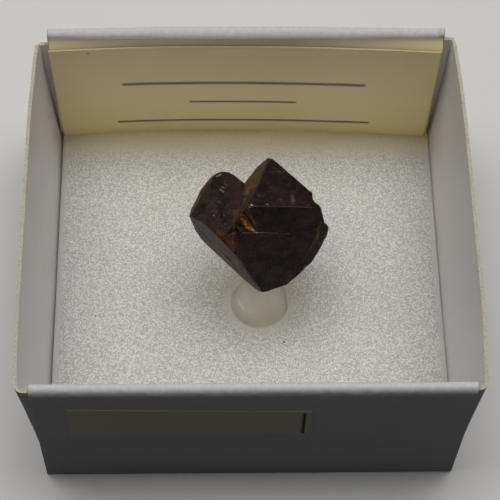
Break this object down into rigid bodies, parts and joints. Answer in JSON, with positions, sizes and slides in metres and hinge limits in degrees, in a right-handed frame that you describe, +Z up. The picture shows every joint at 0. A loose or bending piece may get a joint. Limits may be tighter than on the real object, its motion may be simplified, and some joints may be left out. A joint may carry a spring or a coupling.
{
  "type": "boxed magnetite specimen",
  "caption": "Intergrown dark octahedral crystals held on a round peg over a foam pad, in an open folding card tray with paper labels.",
  "frame": {"origin": "middle of the card tray's underside", "axes": "+Z up, -Y to the front wall with the small label, +X to the right seen from the front"},
  "size_m": [0.0449, 0.0419, 0.0205],
  "materials": {
    "card": "matt grey-white card",
    "foam": "pale glittering closed-cell foam",
    "peg": "hazy, slightly yellow",
    "magnetite": "dark brown-black with rust films",
    "locality_paper": "cream paper",
    "backing_paper": "cream paper",
    "number_paper": "cream sticker"
  },
  "bodies": {
    "root": {"card_box": "card", "foam_pad": "foam", "specimen_peg": "peg", "magnetite_crystal": "magnetite", "locality_label": "locality_paper", "backing_sheet": "backing_paper", "number_label": "number_paper"}
  },
  "joints": []
}
